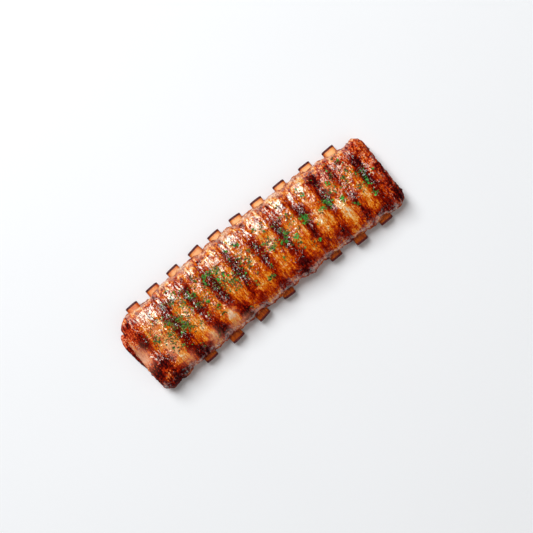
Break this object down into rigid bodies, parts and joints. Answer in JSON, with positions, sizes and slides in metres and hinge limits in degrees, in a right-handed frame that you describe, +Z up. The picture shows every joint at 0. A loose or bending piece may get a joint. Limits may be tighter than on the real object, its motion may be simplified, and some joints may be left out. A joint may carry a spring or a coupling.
{
  "type": "rack of ribs",
  "caption": "Cooked and glazed rack of ribs, meat side up, with rib bones running through the slab and standing out at its long edges.",
  "frame": {"origin": "the middle of the rack's box, on the surface that it lies on", "axes": "+X along the rack, +Y across it towards the edge where all ten bones show, +Z up out of the meat side"},
  "size_m": [0.3166, 0.1004, 0.031],
  "materials": {
    "glazed_meat": "sticky glaze over browned meat, with dark stripes",
    "rib_bone": "roasted bone, burnt at the sawn rim",
    "parsley": "chopped leaf",
    "pepper": "coarse ground"
  },
  "bodies": {
    "root": {"meat": "glazed_meat", "bone_01": "rib_bone", "bone_02": "rib_bone", "bone_03": "rib_bone", "bone_04": "rib_bone", "bone_05": "rib_bone", "bone_06": "rib_bone", "bone_07": "rib_bone", "bone_08": "rib_bone", "bone_09": "rib_bone", "bone_10": "rib_bone"}
  },
  "joints": []
}
